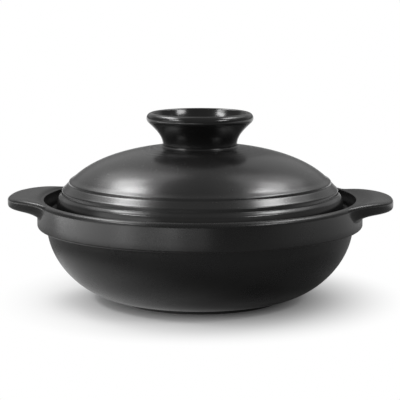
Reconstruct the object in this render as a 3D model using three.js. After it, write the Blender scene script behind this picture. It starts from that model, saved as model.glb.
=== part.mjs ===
import * as THREE from "three";

// A round stoneware cooking pot with a sunk lid. Millimetres, table at z = 0, handles along x.

// Pot
const POT_HEIGHT = 72; // table to the crest of the lip
const RIM_RADIUS = 115; // outer face of the upright rim band
const BAND_HEIGHT = 19.4; // lip crest to the lower edge of the band
const BAND_STEP = 6.5; // how far the band stands out from the bowl below it
const BAND_ROUND = 1.6; // rounding of the lower edge of the band
const LIP_ROUND = 3.3; // outer rounding of the lip
const LIP_EDGE = 1; // inner rounding of the lip, beside the lid
const GALLERY_DEPTH = 12; // lip crest down to the ledge that carries the lid
const GALLERY_FILLET = 1.5; // hollow corner between ledge and gallery wall
const LEDGE_ROUND = 2; // rounding of the ledge towards the bowl
const BOWL_WALL = 8; // wall and floor of the bowl
const BOWL_FLAT = 15; // length of the flat pull at the foot end of the bowl curve
const BOWL_STEEP = 30; // length of the steep pull at the band end of the bowl curve
const BOWL_LEAN = 2.2; // how far that steep pull leans in
const FOOT_RADIUS = 59;
const FOOT_HEIGHT = 3.6;
const FOOT_WIDTH = 9; // width of the ring the pot stands on
const FOOT_RECESS = 2.5; // hollow under the base, inside the ring
const FOOT_FLARE = 4; // underside of the bowl from the foot to the start of the curve
const FOOT_ROUND = 0.6; // rounding of the edges of the ring

// Handles, two solid lugs luted to the band, rising from the lip and levelling off just above it
const LUTE_GAP = 0.3; // layer of slip between a lug or the knob and its seat
const HANDLE_REACH = 21.3; // band to tip
const HANDLE_RISE = 3.1; // how far the tip stands above the lip
const HANDLE_LEVEL = 4; // 1 gives an even slope to the tip, more levels off nearer the lip
const HANDLE_SPREAD = 26.5; // degrees from the middle to where the lug fades into the band
const HANDLE_BREADTH = 1.6; // 1 gives a pointed ear, more a broader one
const HANDLE_END = 0.93; // share of that spread where the lug is cut off, still solid
const HANDLE_THICKNESS = 9.6; // at the tip
const HANDLE_FLATNESS = 4.2; // squareness of the section, 2 being an ellipse
const HANDLE_ROOT = 13; // lip crest down to where the underside runs out on the band
const NOSE_TURN = 135; // degrees of rounding from the top of the lug to its underside
const UNDERSIDE_PULL = 0.11; // share of the reach where the underside turns down to the band
const UNDERSIDE_DROP = 1.9; // how far the underside sinks before it turns

// Lid
const SEAT_GAP = 0.3; // play between the lid and the ledge
const LID_CLEARANCE = 3.5; // lid flange to gallery wall
const LID_WALL = 7;
const FLANGE_STEP = 6; // how far the seating flange stands out from the dome
const FLANGE_ROUND = 1.8; // half the thickness of the flange edge
const FLANGE_TURN = 75; // degrees of that edge above its middle
const DOME_RISE = 49.5; // ledge to the top of the dome
const DOME_FULLNESS = 2.25; // 2 gives an ellipse, more a fuller shoulder
const BEAD_HEIGHT = 11.3; // ledge to the crest of the bead at the lid edge
const BEAD_HALF = 4; // crest of the bead down to its foot
const BEAD_LOW_PULL = 0.7; // how far the lower half of the bead is drawn out
const BEAD_HIGH_PULL = 2.5; // how far the upper half is drawn out
const LOWER_GROOVE = 16.6; // ledge to the groove above the bead
const UPPER_GROOVE = 23.5; // ledge to the groove below the dome
const GROOVE_DEPTH = 1.3;
const TIER_PROUD = 0.4; // how far the tier between the grooves stands out
const ROLL = 1.6; // height over which an edge rolls down into a groove

// Knob, a flared cup luted to the top of the lid
const COLLAR_HEIGHT = 1; // raised pad under the knob
const COLLAR_EDGE = 1.6; // pad showing round the foot of the knob
const KNOB_FOOT_RADIUS = 26.3;
const KNOB_RADIUS = 37.7;
const KNOB_HEIGHT = 22.6;
const KNOB_FOOT_ROUND = 1; // edge of the foot
const KNOB_LIP = 3.9; // outer rounding of the lip
const KNOB_EDGE = 1.4; // inner rounding of the lip
const KNOB_UNDERCUT = 42; // degrees below level where the flare meets the lip
const KNOB_NECK = 6.3; // upright pull at the foot of the flare
const KNOB_FLARE = 3.8; // outward pull at the top of the flare
const CUP_DEPTH = 17; // lip crest to the floor of the hollow
const CUP_FLOOR = 12; // radius of the flat floor of the hollow
const CUP_LEAN = 20; // degrees that the wall of the hollow leans out at the lip

// Fineness
const TURN_STEPS = 48;
const KNOB_STEPS = 36;
const HANDLE_STEPS = 16;
const NOSE_STEPS = 11;
const SAME_POINT = 0.01; // closer points of an outline are one

const at = (radius, height) => new THREE.Vector2(radius, height);
const rad = THREE.MathUtils.degToRad;

function arc(centre, radius, from, to, steps) {
  const circle = [centre.x, centre.y, radius, radius];
  return new THREE.EllipseCurve(...circle, rad(from), rad(to), to < from).getPoints(steps);
}

function bend(start, pull, end, steps) {
  return new THREE.QuadraticBezierCurve(start, pull, end).getPoints(steps);
}

function swing(start, pullStart, pullEnd, end, steps) {
  return new THREE.CubicBezierCurve(start, pullStart, pullEnd, end).getPoints(steps);
}

function joined(...stretches) {
  const points = stretches.flat();
  return points.filter((p, i) => i === 0 || p.distanceTo(points[i - 1]) > SAME_POINT);
}

function turned(outline, steps) {
  return new THREE.LatheGeometry(outline, steps).rotateX(Math.PI / 2);
}

// Heights and radii that the pieces share
const bandBottom = POT_HEIGHT - BAND_HEIGHT;
const ledge = POT_HEIGHT - GALLERY_DEPTH;
const lipCentre = at(RIM_RADIUS - LIP_ROUND, POT_HEIGHT - LIP_ROUND);
const galleryRadius = lipCentre.x - LIP_EDGE;

// Pot body: foot ring, bowl, rim band, lip and the gallery for the lid
function potOutline() {
  const bowlTop = at(RIM_RADIUS - BAND_STEP, bandBottom);
  const bowlFoot = at(FOOT_RADIUS + FOOT_FLARE, FOOT_HEIGHT);
  const bowl = new THREE.CubicBezierCurve(
    bowlFoot,
    at(bowlFoot.x + BOWL_FLAT, FOOT_HEIGHT),
    at(bowlTop.x - BOWL_LEAN, bandBottom - BOWL_STEEP),
    bowlTop,
  );
  const outside = bowl.getSpacedPoints(10);
  const mouth = bowlTop.x - BOWL_WALL;
  const ringInside = FOOT_RADIUS - FOOT_WIDTH;
  const inside = [];
  for (let step = 9; step >= 0; step--) {
    const along = bowl.getTangentAt(step / 9);
    const inward = at(-along.y, along.x).multiplyScalar(BOWL_WALL);
    inside.push(bowl.getPointAt(step / 9).add(inward));
  }
  return joined(
    [at(0, FOOT_RECESS), at(ringInside - FOOT_RECESS, FOOT_RECESS), at(ringInside, 0)],
    arc(at(FOOT_RADIUS - FOOT_ROUND, FOOT_ROUND), FOOT_ROUND, -90, 0, 2),
    [at(FOOT_RADIUS, FOOT_HEIGHT)],
    outside,
    arc(at(RIM_RADIUS - BAND_ROUND, bandBottom + BAND_ROUND), BAND_ROUND, -90, 0, 3),
    arc(lipCentre, LIP_ROUND, 0, 90, 5),
    arc(at(lipCentre.x, POT_HEIGHT - LIP_EDGE), LIP_EDGE, 90, 180, 3),
    arc(at(galleryRadius - GALLERY_FILLET, ledge + GALLERY_FILLET), GALLERY_FILLET, 0, -90, 2),
    arc(at(mouth + LEDGE_ROUND, ledge - LEDGE_ROUND), LEDGE_ROUND, 90, 180, 2),
    inside.filter((p) => p.y < ledge - LEDGE_ROUND),
    [at(0, FOOT_HEIGHT + BOWL_WALL)],
  );
}

// Handles: the lug section grows out of the band by a share of the reach at each angle
function handleSection() {
  const power = 2 / HANDLE_FLATNESS;
  const half = HANDLE_THICKNESS / 2;
  const nose = [];
  for (let step = 0; step <= NOSE_STEPS; step++) {
    const angle = NOSE_TURN * (step / NOSE_STEPS) ** 2;
    const drop = Math.cos(rad(angle));
    const share = Math.sin(rad(angle)) ** power;
    nose.push(at(share, half * (1 - Math.sign(drop) * Math.abs(drop) ** power)));
  }
  const under = nose.at(-1);
  const turnDown = at(UNDERSIDE_PULL, under.y + UNDERSIDE_DROP);
  return joined(nose, bend(under, turnDown, at(0, HANDLE_ROOT), 6));
}

// Radius of the slip layer over the lip and the band at a depth below the lip crest
function bondRadius(depth) {
  const grown = LIP_ROUND + LUTE_GAP;
  const rise = LIP_ROUND - depth;
  return lipCentre.x + (rise > 0 ? Math.sqrt(grown ** 2 - rise ** 2) : grown);
}

function handle(middle) {
  const section = handleSection();
  const last = section.length - 1;
  const loop = 2 * last;
  const position = [];
  const index = [];
  for (let step = 0; step <= HANDLE_STEPS; step++) {
    const share = HANDLE_END * (2 * (step / HANDLE_STEPS) - 1);
    const angle = rad(middle + share * HANDLE_SPREAD);
    const fade = Math.cos((Math.abs(share) ** HANDLE_BREADTH * Math.PI) / 2) ** 2;
    for (let k = 0; k < loop; k++) {
      const point = section[k <= last ? k : loop - k];
      const out = k <= last ? fade * point.x : 0;
      const radius = bondRadius(point.y) + HANDLE_REACH * out;
      const lift = HANDLE_RISE * (1 - (1 - out) ** HANDLE_LEVEL);
      const height = POT_HEIGHT - point.y + lift;
      position.push(radius * Math.cos(angle), radius * Math.sin(angle), height);
    }
  }
  for (let step = 0; step < HANDLE_STEPS; step++) {
    for (let k = 0; k < loop; k++) {
      const here = step * loop + k;
      const beside = step * loop + ((k + 1) % loop);
      index.push(here, beside, here + loop, beside, beside + loop, here + loop);
    }
  }
  const end = HANDLE_STEPS * loop;
  for (let k = 0; k < last; k++) {
    const back = loop - k;
    const inner = back % loop;
    if (k > 0) {
      index.push(k, inner, k + 1, end + k, end + k + 1, end + inner);
    }
    if (k + 1 < last) {
      index.push(k + 1, inner, back - 1, end + k + 1, end + back - 1, end + inner);
    }
  }
  return new THREE.BufferGeometry()
    .setAttribute("position", new THREE.Float32BufferAttribute(position, 3))
    .setIndex(index);
}

// Lid: seating flange, bead, one tier between two grooves, dome and the pad for the knob
const lidRadius = galleryRadius - LID_CLEARANCE;
const domeRadius = lidRadius - FLANGE_STEP;
const seat = ledge + SEAT_GAP;

function domeRadiusAt(height) {
  return domeRadius * (1 - (height / DOME_RISE) ** DOME_FULLNESS) ** (1 / DOME_FULLNESS);
}

function domeHeightAt(radius) {
  return DOME_RISE * (1 - (radius / domeRadius) ** DOME_FULLNESS) ** (1 / DOME_FULLNESS);
}

// A point at a height above the ledge, standing proud of the dome or sunk into it
function onDome(height, proud) {
  const radius = domeRadiusAt(height);
  const outward = at(
    (radius / domeRadius) ** (DOME_FULLNESS - 1) / domeRadius,
    (height / DOME_RISE) ** (DOME_FULLNESS - 1) / DOME_RISE,
  ).setLength(Math.abs(proud));
  return at(radius, ledge + height).addScaledVector(outward, Math.sign(proud));
}

function domeStretch(across, rise, base, from, to, steps) {
  const power = 2 / DOME_FULLNESS;
  const points = [];
  for (let step = 0; step <= steps; step++) {
    const angle = from + (to - from) * (step / steps);
    const out = Math.max(0, Math.cos(angle)) ** power;
    points.push(at(across * out, base + rise * Math.sin(angle) ** power));
  }
  return points;
}

const collarRadius = KNOB_FOOT_RADIUS + COLLAR_EDGE;
const knobSeat = ledge + domeHeightAt(KNOB_FOOT_RADIUS) + COLLAR_HEIGHT;

function lidOutline() {
  const half = DOME_FULLNESS / 2;
  const shoulder = UPPER_GROOVE + ROLL;
  const domeFrom = Math.asin((shoulder / DOME_RISE) ** half);
  const domeTo = Math.acos((collarRadius / domeRadius) ** half);
  const flangeMiddle = at(lidRadius - FLANGE_ROUND, seat + FLANGE_ROUND);
  const flange = arc(flangeMiddle, FLANGE_ROUND, -90, FLANGE_TURN, 4);
  const flangeTop = flange.at(-1);
  const beadFoot = onDome(BEAD_HEIGHT - BEAD_HALF, 0);
  const lowerGroove = onDome(LOWER_GROOVE, -GROOVE_DEPTH);
  const upperGroove = onDome(UPPER_GROOVE, -GROOVE_DEPTH);
  const tierEdge = onDome(LOWER_GROOVE + ROLL, TIER_PROUD);
  return joined(
    domeStretch(domeRadius - LID_WALL, DOME_RISE - LID_WALL, seat, Math.PI / 2, 0, 9),
    flange,
    bend(flangeTop, at(beadFoot.x, flangeTop.y), beadFoot, 3),
    swing(
      beadFoot,
      onDome(BEAD_HEIGHT - BEAD_HALF / 2, BEAD_LOW_PULL),
      onDome(BEAD_HEIGHT + BEAD_HALF / 2, BEAD_HIGH_PULL),
      lowerGroove,
      6,
    ),
    bend(lowerGroove, onDome(LOWER_GROOVE + ROLL / 3, TIER_PROUD), tierEdge, 2),
    swing(
      tierEdge,
      onDome(LOWER_GROOVE + 2 * ROLL, TIER_PROUD),
      onDome(UPPER_GROOVE - ROLL / 2, 0),
      upperGroove,
      4,
    ),
    bend(upperGroove, onDome(UPPER_GROOVE + ROLL / 3, 0), onDome(shoulder, 0), 2),
    domeStretch(domeRadius, DOME_RISE, ledge, domeFrom, domeTo, 9),
    arc(at(collarRadius - COLLAR_HEIGHT, knobSeat - COLLAR_HEIGHT), COLLAR_HEIGHT, 0, 90, 2),
    [at(0, knobSeat)],
  );
}

// Knob: foot, flare, rounded lip and the cup sunk into the top
function knobOutline() {
  const foot = knobSeat + LUTE_GAP;
  const crest = foot + KNOB_HEIGHT;
  const lipMiddle = at(KNOB_RADIUS - KNOB_LIP, crest - KNOB_LIP);
  const lip = arc(lipMiddle, KNOB_LIP, -KNOB_UNDERCUT, 90, 7);
  const edge = arc(at(lipMiddle.x, crest - KNOB_EDGE), KNOB_EDGE, 90, 180 - CUP_LEAN, 3);
  const neck = at(KNOB_FOOT_RADIUS, foot + KNOB_FOOT_ROUND);
  const flareTop = lip[0];
  const inner = edge.at(-1);
  const floor = at(CUP_FLOOR, crest - CUP_DEPTH);
  const wallFoot = inner.x - (inner.y - floor.y) * Math.tan(rad(CUP_LEAN));
  return joined(
    [at(0, foot), at(KNOB_FOOT_RADIUS - KNOB_FOOT_ROUND, foot)],
    swing(
      neck,
      at(neck.x, neck.y + KNOB_NECK),
      at(flareTop.x - KNOB_FLARE, flareTop.y - KNOB_FLARE),
      flareTop,
      6,
    ),
    lip,
    edge,
    bend(inner, at(wallFoot, floor.y), floor, 5),
    [at(0, floor.y)],
  );
}

function piece(name, geometry, colour, roughness) {
  const material = new THREE.MeshStandardMaterial({ color: colour, roughness, metalness: 0 });
  const mesh = new THREE.Mesh(geometry, material);
  mesh.name = name;
  return mesh;
}

const pot = new THREE.Group();
pot.add(
  piece("pot_body", turned(potOutline(), TURN_STEPS), 0x121212, 0.35),
  piece("right_handle", handle(0), 0x121212, 0.36),
  piece("left_handle", handle(180), 0x121212, 0.36),
);

const lid = new THREE.Group();
lid.add(
  piece("lid_dome", turned(lidOutline(), TURN_STEPS), 0x121212, 0.34),
  piece("lid_knob", turned(knobOutline(), KNOB_STEPS), 0x121212, 0.34),
);

const whole = new THREE.Group();
whole.add(pot, lid);

export default whole;
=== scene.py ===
from math import acos, asin, cos, hypot, pi, radians, sin, sqrt, tan

import bpy
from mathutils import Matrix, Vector


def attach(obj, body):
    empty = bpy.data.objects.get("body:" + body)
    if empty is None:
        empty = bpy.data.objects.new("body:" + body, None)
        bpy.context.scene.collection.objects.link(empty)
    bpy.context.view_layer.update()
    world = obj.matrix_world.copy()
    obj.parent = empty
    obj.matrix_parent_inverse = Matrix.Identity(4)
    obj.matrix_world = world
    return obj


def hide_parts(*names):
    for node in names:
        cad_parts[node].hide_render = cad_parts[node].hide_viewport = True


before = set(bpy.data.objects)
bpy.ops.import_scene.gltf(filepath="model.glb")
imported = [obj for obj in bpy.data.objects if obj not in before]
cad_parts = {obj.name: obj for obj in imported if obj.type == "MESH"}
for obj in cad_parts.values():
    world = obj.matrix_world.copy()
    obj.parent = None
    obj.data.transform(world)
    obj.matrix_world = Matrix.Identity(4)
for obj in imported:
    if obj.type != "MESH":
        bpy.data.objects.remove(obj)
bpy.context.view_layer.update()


# The pot is a shallow stoneware bowl on a low foot, shaped on the wheel, with an upright rim
# band, a rounded lip and a ledge inside the lip for the lid. Satin black glaze covers it
# inside and out; the foot ring and the ledge are wiped bare so that they don't stick in the kiln.
mm = 0.001
rim_radius = 115
lip_height = 72
lip_radius = 3.3
lip_edge = 1
band_bottom = 52.6
band_edge = 1.6
band_fillet = 0.8
band_rings = (58, 63)
bowl_top = 108.5
bowl_start = 63
bowl_spread = 78
bowl_belly = (106.3, 22.6)
bowl_wall = 8
ledge_height = 60
ledge_corner = 1.5
ledge_edge = 2
foot_radius = 59
foot_inside = 49.9
foot_height = 3.6
foot_edge = 0.7
foot_fillet = 1.4
recess_radius = 46.5
recess_depth = 2.5
wheel_steps = 192
crease = 38


def arc(centre, radius, start, stop, steps):
    """Points on a round edge, from one angle to another, in degrees."""
    angles = [radians(start + (stop - start) * step / steps) for step in range(steps + 1)]
    return [(centre[0] + radius * cos(a), centre[1] + radius * sin(a)) for a in angles]


def drawn(pulls, steps):
    """Points on a curve drawn from the first pull to the last and bent towards those between."""
    line = []
    for step in range(steps + 1):
        t = step / steps
        row = [Vector(pull) for pull in pulls]
        while len(row) > 1:
            row = [a.lerp(b, t) for a, b in zip(row, row[1:])]
        line.append(tuple(row[0]))
    return line


def wall_inside(outer, thickness):
    """The inner face of a wall, square to its outer face and as thick all along."""
    inner = []
    for before, here, after in zip(outer[:1] + outer, outer, outer[1:] + outer[-1:]):
        along = (Vector(after) - Vector(before)).normalized()
        inner.append((here[0] - along.y * thickness, here[1] + along.x * thickness))
    return inner


def turned(name, outline, steps):
    """One point pulled along half the section, from axis to axis, then spun into the whole piece."""
    least_pull = 0.005
    weld = 0.000002
    bpy.ops.object.select_all(action="DESELECT")
    bpy.ops.mesh.primitive_plane_add(size=mm, location=(0, 0, 0))
    piece = bpy.context.object
    piece.name = piece.data.name = name
    bpy.ops.object.mode_set(mode="EDIT")
    bpy.ops.mesh.select_mode(type="VERT")
    bpy.ops.mesh.select_all(action="SELECT")
    bpy.ops.mesh.merge(type="CENTER")
    bpy.ops.transform.translate(value=(outline[0][0] * mm, 0, outline[0][1] * mm))
    for (r0, z0), (r1, z1) in zip(outline, outline[1:]):
        if hypot(r1 - r0, z1 - z0) > least_pull:
            pull = ((r1 - r0) * mm, 0, (z1 - z0) * mm)
            bpy.ops.mesh.extrude_vertices_move(TRANSFORM_OT_translate={"value": pull})
    bpy.ops.mesh.select_all(action="SELECT")
    bpy.ops.mesh.spin(steps=steps, angle=2 * pi, center=(0, 0, 0), axis=(0, 0, 1))
    bpy.ops.mesh.select_all(action="SELECT")
    bpy.ops.mesh.remove_doubles(threshold=weld)
    bpy.ops.mesh.normals_make_consistent(inside=False)
    bpy.ops.object.mode_set(mode="OBJECT")
    bpy.ops.object.shade_smooth_by_angle(angle=radians(crease))
    return piece


bowl_curve = drawn([
    (bowl_start, foot_height),
    (bowl_spread, foot_height),
    bowl_belly,
    (bowl_top, band_bottom),
], 56)
below_ledge = ledge_height - ledge_edge - 0.2
bowl_inside = [p for p in reversed(wall_inside(bowl_curve, bowl_wall)) if p[1] < below_ledge]
bowl_floor = foot_height + bowl_wall
mouth = bowl_top - bowl_wall
lip_centre = (rim_radius - lip_radius, lip_height - lip_radius)
gallery = lip_centre[0] - lip_edge
pot_outline = (
    [(radius, recess_depth) for radius in (0, 20, 44)]
    + drawn([
        (recess_radius, recess_depth),
        (recess_radius + 1.1, recess_depth),
        (recess_radius + 1.9, recess_depth - 1.1),
    ], 4)
    + arc((foot_inside + foot_edge, foot_edge), foot_edge, 215, 270, 4)
    + arc((foot_radius - foot_edge, foot_edge), foot_edge, -90, 0, 6)
    + arc((foot_radius + foot_fillet, foot_height - foot_fillet), foot_fillet, 180, 90, 6)
    + bowl_curve[:-1]
    + arc((bowl_top + band_fillet, band_bottom - band_fillet), band_fillet, 180, 90, 5)
    + arc((rim_radius - band_edge, band_bottom + band_edge), band_edge, -90, 0, 10)
    + [(rim_radius, height) for height in band_rings]
    + arc(lip_centre, lip_radius, 0, 90, 24)
    + arc((lip_centre[0], lip_height - lip_edge), lip_edge, 90, 180, 12)
    + arc((gallery - ledge_corner, ledge_height + ledge_corner), ledge_corner, 0, -90, 6)
    + arc((mouth + ledge_edge, ledge_height - ledge_edge), ledge_edge, 90, 180, 8)
    + bowl_inside
    + [(40, bowl_floor), (0, bowl_floor)]
)
bowl = turned("glazed_bowl", pot_outline, wheel_steps)


def socket(group, name, direction, kind, value=None):
    """A named socket on a group of shader nodes."""
    made = group.interface.new_socket(name=name, in_out=direction, socket_type=kind)
    if value is not None:
        made.default_value = value


def noise(nodes, links, place, scale, detail, roughness=0.5):
    """Cloudy grain at a number of lumps to the metre."""
    cloud = nodes.new("ShaderNodeTexNoise")
    cloud.inputs["Scale"].default_value = scale
    cloud.inputs["Detail"].default_value = detail
    cloud.inputs["Roughness"].default_value = roughness
    links.new(place, cloud.inputs["Vector"])
    return cloud.outputs["Fac"]


def ramp(nodes, links, value, low, high, to_low=0.0, to_high=1.0, smooth=False):
    """A value stretched from one range to another, and held at its ends."""
    spread = nodes.new("ShaderNodeMapRange")
    spread.interpolation_type = "SMOOTHSTEP" if smooth else "LINEAR"
    spread.inputs["From Min"].default_value = low
    spread.inputs["From Max"].default_value = high
    spread.inputs["To Min"].default_value = to_low
    spread.inputs["To Max"].default_value = to_high
    links.new(value, spread.inputs["Value"])
    return spread.outputs["Result"]


def sums(nodes, links, kind, first, second):
    """Two values, or a value and a number, put together by one sum."""
    made = nodes.new("ShaderNodeMath")
    made.operation = kind
    for place, value in zip(made.inputs, (first, second)):
        if isinstance(value, (int, float)):
            place.default_value = value
        else:
            links.new(value, place)
    return made.outputs["Value"]


def blended(nodes, links, share, first, second):
    """One colour laid over another by a share."""
    mix = nodes.new("ShaderNodeMix")
    mix.data_type = "RGBA"
    links.new(share, mix.inputs["Factor"])
    links.new(first, mix.inputs["A"])
    links.new(second, mix.inputs["B"])
    return mix.outputs["Result"]


def satin_glaze_group():
    """Black glaze: cloudy depth, fine flecks, a slightly uneven satin surface, thin on the edges."""
    group = bpy.data.node_groups.new("satin_glaze", "ShaderNodeTree")
    socket(group, "Deep", "INPUT", "NodeSocketColor", (0.0078, 0.0078, 0.0078, 1))
    socket(group, "Thin", "INPUT", "NodeSocketColor", (0.0145, 0.0138, 0.0132, 1))
    socket(group, "Edge", "INPUT", "NodeSocketFloat", 0.0)
    socket(group, "Satin", "INPUT", "NodeSocketFloat", 0.26)
    socket(group, "Color", "OUTPUT", "NodeSocketColor")
    socket(group, "Roughness", "OUTPUT", "NodeSocketFloat")
    socket(group, "Height", "OUTPUT", "NodeSocketFloat")
    nodes, links = group.nodes, group.links
    given = nodes.new("NodeGroupInput")
    place = nodes.new("ShaderNodeTexCoord").outputs["Object"]
    cloud = noise(nodes, links, place, 38, 3)
    sway = noise(nodes, links, place, 24, 1)
    skin = noise(nodes, links, place, 1900, 2)
    fleck = ramp(nodes, links, noise(nodes, links, place, 820, 1), 0.71, 0.76)
    worn = ramp(nodes, links, cloud, 0.3, 0.7, 0.5, 1)
    thin = sums(nodes, links, "MULTIPLY", given.outputs["Edge"], worn)
    depth = ramp(nodes, links, cloud, 0.3, 0.72, 0, 0.35)
    pale = sums(nodes, links, "MAXIMUM", thin, depth)
    specked = sums(nodes, links, "MAXIMUM", pale, sums(nodes, links, "MULTIPLY", fleck, 0.8))
    colour = blended(nodes, links, specked, given.outputs["Deep"], given.outputs["Thin"])
    drift = ramp(nodes, links, cloud, 0.25, 0.75, -0.025, 0.03)
    prickle = ramp(nodes, links, skin, 0.3, 0.7, -0.015, 0.015)
    matt = sums(nodes, links, "ADD", given.outputs["Satin"], sums(nodes, links, "ADD", drift, prickle))
    sheen = sums(nodes, links, "ADD", matt, sums(nodes, links, "MULTIPLY", fleck, 0.04))
    grain = sums(nodes, links, "MULTIPLY", skin, 0.006)
    pit = sums(nodes, links, "MULTIPLY", fleck, -0.006)
    height = sums(nodes, links, "ADD", sums(nodes, links, "ADD", sway, grain), pit)
    out = nodes.new("NodeGroupOutput")
    links.new(colour, out.inputs["Color"])
    links.new(sheen, out.inputs["Roughness"])
    links.new(height, out.inputs["Height"])
    return group


def bare_clay_group():
    """Fired stoneware with no glaze: sandy, matt and a little speckled."""
    group = bpy.data.node_groups.new("bare_clay", "ShaderNodeTree")
    socket(group, "Body", "INPUT", "NodeSocketColor", (0.2, 0.15, 0.11, 1))
    socket(group, "Sand", "INPUT", "NodeSocketColor", (0.09, 0.065, 0.05, 1))
    socket(group, "Color", "OUTPUT", "NodeSocketColor")
    socket(group, "Height", "OUTPUT", "NodeSocketFloat")
    nodes, links = group.nodes, group.links
    given = nodes.new("NodeGroupInput")
    place = nodes.new("ShaderNodeTexCoord").outputs["Object"]
    grit = noise(nodes, links, place, 1300, 3, 0.6)
    patch = noise(nodes, links, place, 60, 2)
    sandy = ramp(nodes, links, grit, 0.5, 0.72, 0, 0.7)
    smoky = ramp(nodes, links, patch, 0.4, 0.7, 0, 0.3)
    dark = sums(nodes, links, "ADD", sandy, smoky)
    out = nodes.new("NodeGroupOutput")
    links.new(blended(nodes, links, dark, given.outputs["Body"], given.outputs["Sand"]), out.inputs["Color"])
    links.new(grit, out.inputs["Height"])
    return group


def ring_group():
    """A ring round the axis: full on a circle of some radius and height, fading away from it."""
    group = bpy.data.node_groups.new("ring_round_axis", "ShaderNodeTree")
    socket(group, "Radius", "INPUT", "NodeSocketFloat", 0.1)
    socket(group, "Height", "INPUT", "NodeSocketFloat", 0.0)
    socket(group, "Full", "INPUT", "NodeSocketFloat", 0.001)
    socket(group, "Reach", "INPUT", "NodeSocketFloat", 0.004)
    socket(group, "Mask", "OUTPUT", "NodeSocketFloat")
    nodes, links = group.nodes, group.links
    given = nodes.new("NodeGroupInput")
    place = nodes.new("ShaderNodeTexCoord").outputs["Object"]
    parts = nodes.new("ShaderNodeSeparateXYZ")
    links.new(place, parts.inputs["Vector"])
    across = sums(nodes, links, "MULTIPLY", parts.outputs["X"], parts.outputs["X"])
    deep = sums(nodes, links, "MULTIPLY", parts.outputs["Y"], parts.outputs["Y"])
    radius = sums(nodes, links, "SQRT", sums(nodes, links, "ADD", across, deep), 0)
    out_by = sums(nodes, links, "SUBTRACT", radius, given.outputs["Radius"])
    up_by = sums(nodes, links, "SUBTRACT", parts.outputs["Z"], given.outputs["Height"])
    out_square = sums(nodes, links, "MULTIPLY", out_by, out_by)
    up_square = sums(nodes, links, "MULTIPLY", up_by, up_by)
    away = sums(nodes, links, "SQRT", sums(nodes, links, "ADD", out_square, up_square), 0)
    wobble = ramp(nodes, links, noise(nodes, links, place, 130, 2), 0.3, 0.7, -0.0004, 0.0004)
    fade = nodes.new("ShaderNodeMapRange")
    fade.interpolation_type = "SMOOTHSTEP"
    fade.inputs["To Min"].default_value = 1
    fade.inputs["To Max"].default_value = 0
    links.new(sums(nodes, links, "ADD", away, wobble), fade.inputs["Value"])
    links.new(given.outputs["Full"], fade.inputs["From Min"])
    links.new(given.outputs["Reach"], fade.inputs["From Max"])
    out = nodes.new("NodeGroupOutput")
    links.new(fade.outputs["Result"], out.inputs["Mask"])
    return group


satin_glaze = satin_glaze_group()
bare_clay = bare_clay_group()
ring_round_axis = ring_group()


def ring_masks(nodes, links, rings):
    """Several rings round the axis, (radius, height, full, reach) in millimetres, as one mask."""
    mask = None
    for ring in rings:
        node = nodes.new("ShaderNodeGroup")
        node.node_tree = ring_round_axis
        for name, size in zip(("Radius", "Height", "Full", "Reach"), ring):
            node.inputs[name].default_value = size * mm
        found = node.outputs["Mask"]
        mask = found if mask is None else sums(nodes, links, "MAXIMUM", mask, found)
    return mask


def glazed(name, ior, satin, thin_rings, bare_rings):
    """Satin black glaze that thins on the edges named, with bare clay where it was wiped off."""
    clay_roughness = 0.88
    relief_strength = 0.35
    relief = 0.3
    material = bpy.data.materials.new(name)
    material.use_nodes = True
    nodes, links = material.node_tree.nodes, material.node_tree.links
    shader = nodes["Principled BSDF"]
    shader.inputs["IOR"].default_value = ior
    glaze = nodes.new("ShaderNodeGroup")
    glaze.node_tree = satin_glaze
    glaze.inputs["Satin"].default_value = satin
    if thin_rings:
        links.new(ring_masks(nodes, links, thin_rings), glaze.inputs["Edge"])
    colour, rough, height = (glaze.outputs[n] for n in ("Color", "Roughness", "Height"))
    if bare_rings:
        clay = nodes.new("ShaderNodeGroup")
        clay.node_tree = bare_clay
        wiped = ring_masks(nodes, links, bare_rings)
        colour = blended(nodes, links, wiped, colour, clay.outputs["Color"])
        matt = sums(nodes, links, "MULTIPLY", wiped, clay_roughness)
        rough = sums(nodes, links, "MAXIMUM", rough, matt)
        sand = sums(nodes, links, "MULTIPLY", wiped, clay.outputs["Height"])
        height = sums(nodes, links, "ADD", height, sand)
    bump = nodes.new("ShaderNodeBump")
    bump.inputs["Strength"].default_value = relief_strength
    bump.inputs["Distance"].default_value = relief * mm
    links.new(height, bump.inputs["Height"])
    links.new(colour, shader.inputs["Base Color"])
    links.new(rough, shader.inputs["Roughness"])
    links.new(bump.outputs["Normal"], shader.inputs["Normal"])
    return material


thin_lip = (lip_centre[0], lip_height, 0.6, 2.6)
thin_band_edge = (rim_radius - 0.4, band_bottom + 0.5, 0.3, 1.8)
bare_foot = (54.5, -0.4, 3.6, 4.1)
bare_ledge = (104, ledge_height - 0.6, 2.2, 3)
bowl_glaze = glazed("bowl_glaze", 1.45, 0.28, [thin_lip, thin_band_edge], [bare_foot, bare_ledge])
bowl.data.materials.append(bowl_glaze)
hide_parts("pot_body")
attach(bowl, "pot")


# Two lug handles are pressed from the same clay, luted to the rim band opposite each other and
# smoothed into it, so that each grows out of the band, broad at the root, and levels off on top
# just above the lip. They are glazed with the pot.
lug_reach = 21.3
lug_rise = 2.4
lug_level = 4
lug_spread = 26.5
lug_breadth = 1.6
lug_waist = 0.35
lug_thickness = 10.3
lug_flatness = 4.2
lug_root = 13
lug_nose_turn = 135
lug_nose_steps = 45
lug_stations = 64
lug_sink = 0.03
lug_back = 1.4
lug_back_drop = 0.4


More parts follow.
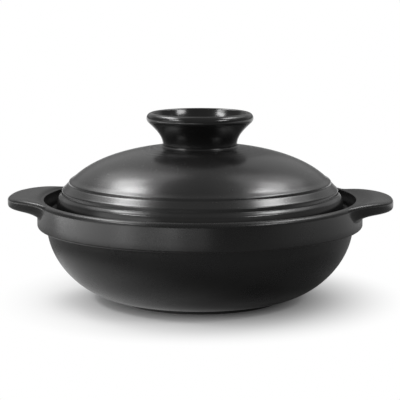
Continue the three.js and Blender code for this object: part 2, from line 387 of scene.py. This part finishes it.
def lug_section():
    """Share of the reach and depth below the lip, over the top, round the nose and down to the band."""
    power = 2 / lug_flatness
    half = lug_thickness / 2
    nose = []
    for step in range(lug_nose_steps + 1):
        angle = radians(lug_nose_turn * (step / lug_nose_steps) ** 2)
        level = cos(angle)
        drop = half * (1 - (1 if level > 0 else -1) * abs(level) ** power)
        nose.append((sin(angle) ** power, drop))
    under = nose[-1]
    root = drawn([under, (0.13, under[1] + 1.6), (0, lug_root - 2.5), (0, lug_root)], 16)
    return nose + root[1:]


def band_radius(depth):
    """Outer face of the lip and band at a depth below the lip crest."""
    rise = max(0, lip_radius - depth)
    return lip_centre[0] + sqrt(lip_radius ** 2 - rise ** 2)


def lug(name, middle):
    """A sheet of clay wrapped round the section and pulled out from the band, most at its middle."""
    front = lug_section()
    back = [(None, depth) for share, depth in reversed(front[2::3])]
    loop = front + back
    bpy.ops.object.select_all(action="DESELECT")
    bpy.ops.mesh.primitive_grid_add(
        x_subdivisions=len(loop), y_subdivisions=lug_stations, size=1, location=(0, 0, 0)
    )
    piece = bpy.context.object
    piece.name = piece.data.name = name
    for vertex in piece.data.vertices:
        share, depth = loop[round((vertex.co.x + 0.5) * len(loop)) % len(loop)]
        side = 2 * vertex.co.y
        waist = 1 + lug_waist * (depth / lug_root) ** 2
        fade = cos(pi / 2 * min(1, abs(side) * waist) ** lug_breadth) ** 2
        out = (share or 0) * fade
        lift = lug_rise * (1 - (1 - out) ** lug_level)
        if share is None:
            skin, drop = -lug_back, lug_back_drop
        else:
            skin, drop = lug_reach * out - lug_sink, lug_sink
        turn = radians(middle + side * lug_spread)
        radius = (band_radius(depth) + skin) * mm
        height = (lip_height - depth + lift - drop) * mm
        vertex.co = (radius * cos(turn), radius * sin(turn), height)
    bpy.ops.object.mode_set(mode="EDIT")
    bpy.ops.mesh.select_all(action="SELECT")
    bpy.ops.mesh.remove_doubles(threshold=0.000001)
    bpy.ops.mesh.select_mode(type="EDGE")
    bpy.ops.mesh.select_all(action="DESELECT")
    bpy.ops.mesh.select_non_manifold()
    bpy.ops.mesh.edge_face_add()
    bpy.ops.mesh.select_all(action="SELECT")
    bpy.ops.mesh.normals_make_consistent(inside=False)
    bpy.ops.object.mode_set(mode="OBJECT")
    bpy.ops.object.shade_smooth_by_angle(angle=radians(crease))
    return piece


lug_glaze = glazed("lug_glaze", 1.45, 0.28, [], [])
for name, middle, node in (("right_lug", 0, "right_handle"), ("left_lug", 180, "left_handle")):
    ear = lug(name, middle)
    ear.data.materials.append(lug_glaze)
    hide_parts(node)
    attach(ear, "pot")


# The lid is a thrown dome that drops inside the lip: a thin flange that sits on the ledge, an
# upright bead, a tier stepped in above it, then the plain dome with a low pad for the knob. It
# is glazed all over but for the underside of the flange.
seat_gap = 0.3
flange_radius = 107.2
flange_edge = 1.8
dome_radius = 101.2
dome_rise = 49.5
dome_fullness = 2.25
lid_wall = 7
bead_level = 7.3
bead_proud = 0.6
dome_level = 27
knob_foot_radius = 26.3
pad_radius = 27.9
pad_edge = 1
ripple_radius = 50
ripple_fade = 12
ripple_pitch = 4.6
ripple_depth = 0.1


def on_dome(height, proud):
    """A point on the dome's curve at a height above the ledge, standing proud of it."""
    radius = dome_radius * (1 - (height / dome_rise) ** dome_fullness) ** (1 / dome_fullness)
    slope = Vector((
        (radius / dome_radius) ** (dome_fullness - 1) / dome_radius,
        (height / dome_rise) ** (dome_fullness - 1) / dome_rise,
    )).normalized()
    return (radius + slope.x * proud, ledge_height + height + slope.y * proud)


def dome_line(radius, rise, base, start, stop, steps):
    """The dome's curve between two angles, from the flange at 0 to the crown at a right angle."""
    power = 2 / dome_fullness
    line = []
    for step in range(steps + 1):
        angle = start + (stop - start) * step / steps
        out = radius * max(0, cos(angle)) ** power
        up = rise * max(0, sin(angle)) ** power
        line.append((out, base + up))
    return line


def throwing_rings(line):
    """Faint ripples left by the fingers round the crown, fading out at the pad and down the dome."""
    rings = []
    for radius, height in line:
        inwards = max(0, min(1, (ripple_radius - radius) / ripple_fade))
        outwards = max(0, min(1, (radius - pad_radius) / 3))
        wave = 1 + sin(2 * pi * radius / ripple_pitch)
        rings.append((radius, height - ripple_depth * inwards * outwards * wave))
    return rings


seat = ledge_height + seat_gap
crown = dome_rise * (1 - (knob_foot_radius / dome_radius) ** dome_fullness) ** (1 / dome_fullness)
pad_top = ledge_height + crown + pad_edge
flange = arc((flange_radius - flange_edge, seat + flange_edge), flange_edge, -90, 75, 10)
bead_foot = on_dome(bead_level, bead_proud)
bead_face = [bead_foot, (101.3, 68.4), (100.8, 71), (100.1, 72.8)]
bead_shoulder = [bead_face[-1], (99.9, 73.7), (99.3, 74.2), (98.6, 74.9)]
tier_foot = [bead_shoulder[-1], (98, 75.5), (97.7, 75.7), (97.65, 76.4)]
tier_shoulder = [(97.5, 77.9), (97.45, 78.7), (96.8, 79), (96.2, 79.6)]
dome_step = [(93.7, 82.1), (93.2, 82.6), (92.7, 82.7), (92.6, 83.3)]
dome_shoulder = [(92.5, 84), (92.3, 85), (90.9, 85.2), on_dome(dome_level, 0)]
dome_start = asin((dome_level / dome_rise) ** (dome_fullness / 2))
dome_stop = acos((pad_radius / dome_radius) ** (dome_fullness / 2))
lid_outline = (
    dome_line(dome_radius - lid_wall, dome_rise - lid_wall, seat, pi / 2, 0, 48)
    + flange
    + drawn([flange[-1], (bead_foot[0], flange[-1][1]), bead_foot], 8)
    + drawn(bead_face, 10)
    + drawn(bead_shoulder, 8)
    + drawn(tier_foot, 8)
    + drawn(tier_shoulder, 8)
    + drawn(dome_step, 8)
    + drawn(dome_shoulder, 14)
    + throwing_rings(dome_line(dome_radius, dome_rise, ledge_height, dome_start, dome_stop, 120))
    + arc((pad_radius - pad_edge, pad_top - pad_edge), pad_edge, 0, 90, 6)
    + [(12, pad_top), (0, pad_top)]
)
lid = turned("domed_lid", lid_outline, wheel_steps)
thin_bead = (100.6, 71.8, 0.4, 1.6)
thin_pad_edge = (pad_radius, pad_top, 0.3, 1.2)
bare_flange = (101.5, seat - 1.2, 3.6, 4.4)
lid.data.materials.append(glazed("lid_glaze", 1.6, 0.23, [thin_bead, thin_pad_edge], [bare_flange]))
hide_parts("lid_dome")
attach(lid, "lid")


# The knob is a small flared cup thrown on its own and luted to the pad: a foot that tapers in a
# little, a flare to a thick rolled lip, and a hollow for the fingertips. Same clay and glaze as
# the lid, a little glossier.
knob_radius = 37.7
knob_height = 22.5
knob_lip = 3.9
knob_edge = 1.4
knob_steps = 160
foot_taper = 0.12
flare_start = 7.3
flare_ease = 3.8
roll_under = -42
cup_depth = 17
cup_lean = 20
cup_flat = 12
luting_sink = 0.05

luting = pad_top - luting_sink
knob_foot = pad_top + seat_gap
knob_crest = knob_foot + knob_height
cup_floor = knob_crest - cup_depth
roll_radius = knob_radius - knob_lip
knob_roll = arc((roll_radius, knob_crest - knob_lip), knob_lip, roll_under, 90, 28)
knob_inside = arc((roll_radius, knob_crest - knob_edge), knob_edge, 90, 180 - cup_lean, 12)
flare_top = knob_roll[0]
cup_top = knob_inside[-1]
cup_pull = cup_top[0] - (cup_top[1] - cup_floor) * tan(radians(cup_lean))
knob_outline = (
    [(0, luting), (14, luting), (knob_foot_radius - foot_taper, luting)]
    + drawn([
        (knob_foot_radius, knob_foot + 1),
        (knob_foot_radius + 5 * foot_taper, knob_foot + flare_start),
        (flare_top[0] - flare_ease, flare_top[1] - flare_ease),
        flare_top,
    ], 24)
    + knob_roll
    + knob_inside
    + drawn([cup_top, (cup_pull, cup_floor), (cup_flat, cup_floor)], 20)
    + [(5, cup_floor), (0, cup_floor)]
)
knob = turned("cup_knob", knob_outline, knob_steps)
thin_roll = (roll_radius, knob_crest, 0.5, 2)
knob.data.materials.append(glazed("knob_glaze", 1.5, 0.18, [thin_roll], []))
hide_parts("lid_knob")
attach(knob, "lid")


# The studio: a paper table that runs back to a white distance, with a painted pool of light and a painted
# glow on the paper under the pot's left, soft lights high on each side and behind, two narrow ones in front
# that glint in the knob, low cards that light the rim band, and the camera a metre in front, looking
# slightly down.
table_radius = 30
# The paper is painted paler round a point under the pot's left: a painted pool of light that the lower bowl
# mirrors. Further out it is an even grey.
painted_pool_centre = (-0.05, 0, 0)
painted_pool_paper, far_paper = 0.75, 0.22
painted_pool_reach = (0.08, 0.14)
shadow_reach = (0.05, 0.15)
white_reach = (0.32, 0.55)
white_depth = (-0.42, -0.27)
# A painted glow lies on the paper round the same point: painted light under the bowl's left that only
# reflections see.
painted_glow_reach = (0.05, 0.12)
painted_glow_strength = 0.45
air_strength = 0.24
lamp_distance = 1.2
card_distance = 0.38
left_card_distance = 0.37
aim_height = 0.08
camera_place = (0.0636, -1.0698, 0.2327)
camera_tilt = 8.64
camera_turn = 3.4
camera_lens = 137.5

bpy.ops.object.select_all(action="DESELECT")
bpy.ops.mesh.primitive_circle_add(vertices=96, radius=table_radius, fill_type="NGON", location=(0, 0, 0))
table = bpy.context.object
table.name = "table"
paper = bpy.data.materials.new("pale_paper")
paper.use_nodes = True
nodes, links = paper.node_tree.nodes, paper.node_tree.links
links.clear()
nodes.remove(nodes["Principled BSDF"])
matt_paper = nodes.new("ShaderNodeBsdfDiffuse")
white = nodes.new("ShaderNodeEmission")
path = nodes.new("ShaderNodeLightPath")
place = nodes.new("ShaderNodeTexCoord").outputs["Object"]
from_middle = nodes.new("ShaderNodeVectorMath")
from_middle.operation = "LENGTH"
links.new(place, from_middle.inputs[0])
from_painted_pool = nodes.new("ShaderNodeVectorMath")
from_painted_pool.operation = "DISTANCE"
from_painted_pool.inputs[1].default_value = painted_pool_centre
links.new(place, from_painted_pool.inputs[0])
parts = nodes.new("ShaderNodeSeparateXYZ")
links.new(place, parts.inputs["Vector"])
# Paper colour: pale in the painted pool of light round that point, even grey beyond.
paper_tone_with_painted_pool = ramp(nodes, links, from_painted_pool.outputs["Value"], *painted_pool_reach, painted_pool_paper, far_paper, True)
links.new(paper_tone_with_painted_pool, matt_paper.inputs["Color"])
past_shadow = ramp(nodes, links, from_middle.outputs["Value"], *shadow_reach, smooth=True)
around = ramp(nodes, links, from_middle.outputs["Value"], *white_reach, smooth=True)
behind = ramp(nodes, links, parts.outputs["Y"], *white_depth, smooth=True)
far = sums(nodes, links, "MULTIPLY", around, behind)
# The painted glow: glossy rays see white light round the point, fading outwards.
painted_glow = ramp(nodes, links, from_painted_pool.outputs["Value"], *painted_glow_reach, painted_glow_strength, 0, True)
mirrored = sums(nodes, links, "MAXIMUM", path.outputs["Is Glossy Ray"], path.outputs["Is Transmission Ray"])
plain_view = sums(nodes, links, "MULTIPLY", path.outputs["Is Camera Ray"], past_shadow)
mirror_view = sums(nodes, links, "MULTIPLY", mirrored, sums(nodes, links, "MAXIMUM", far, painted_glow))
mixed = nodes.new("ShaderNodeMixShader")
links.new(sums(nodes, links, "MAXIMUM", plain_view, mirror_view), mixed.inputs["Fac"])
links.new(matt_paper.outputs["BSDF"], mixed.inputs[1])
links.new(white.outputs["Emission"], mixed.inputs[2])
links.new(mixed.outputs["Shader"], nodes["Material Output"].inputs["Surface"])
table.data.materials.append(paper)

world = bpy.data.worlds.new("studio_air")
bpy.context.scene.world = world
world.use_nodes = True
nodes, links = world.node_tree.nodes, world.node_tree.links
air = nodes["Background"]
air.inputs["Color"].default_value = (1, 1, 1, 1)
path = nodes.new("ShaderNodeLightPath")
seen_by = (path.outputs["Is Camera Ray"], path.outputs["Is Transmission Ray"])
clear_view = sums(nodes, links, "MAXIMUM", *seen_by)
links.new(ramp(nodes, links, clear_view, 0, 1, air_strength, 1), air.inputs["Strength"])


def softbox(name, turn, rise, size, power, away=lamp_distance):
    """A soft light at a turn from the front and a rise above the pot's middle, facing the pot."""
    bpy.ops.object.select_all(action="DESELECT")
    bpy.ops.object.light_add(type="AREA")
    lamp = bpy.context.object
    lamp.name = lamp.data.name = name
    lamp.data.shape = "RECTANGLE"
    lamp.data.size, lamp.data.size_y = size
    lamp.data.energy = power
    level = cos(radians(rise))
    side = Vector((sin(radians(turn)) * level, -cos(radians(turn)) * level, sin(radians(rise))))
    lamp.location = side * away + Vector((0, 0, aim_height))
    lamp.rotation_euler = side.to_track_quat("Z", "Y").to_euler()
    lamp.visible_camera = False


softbox("left_key", -103, 57, (0.34, 0.3), 3.5)
softbox("left_tail", -126, 52, (0.36, 0.3), 2.1)
softbox("left_sheet", -122, 52, (1.02, 0.69), 2.2)
softbox("right_key", 104, 57, (0.3, 0.26), 2.4)
softbox("right_tail", 126, 53, (0.34, 0.28), 1.2)
softbox("right_sheet", 120, 52, (1.02, 0.69), 2)
softbox("front_left", -58, 13, (1.1, 0.4), 1.6)
softbox("left_glint", -62, 40, (0.42, 0.14), 4)
softbox("right_glint", 60, 37, (0.42, 0.14), 3)
softbox("left_behind", -150, 28, (0.97, 0.73), 0.55)
softbox("right_behind", 150, 28, (0.97, 0.73), 0.55)
softbox("left_card", -68, -8.5, (0.46, 0.05), 0.23, left_card_distance)
softbox("front_card", -28, -8.3, (0.26, 0.05), 0.09, card_distance)
softbox("middle_card", -4, -8.3, (0.16, 0.05), 0.03, card_distance)

bpy.ops.object.camera_add(
    location=camera_place, rotation=(radians(90 - camera_tilt), 0, radians(camera_turn))
)
camera = bpy.context.object
camera.data.sensor_width = 36
camera.data.lens = camera_lens
camera.data.clip_end = 100
bpy.context.scene.camera = camera
bpy.context.scene.view_settings.view_transform = "Standard"
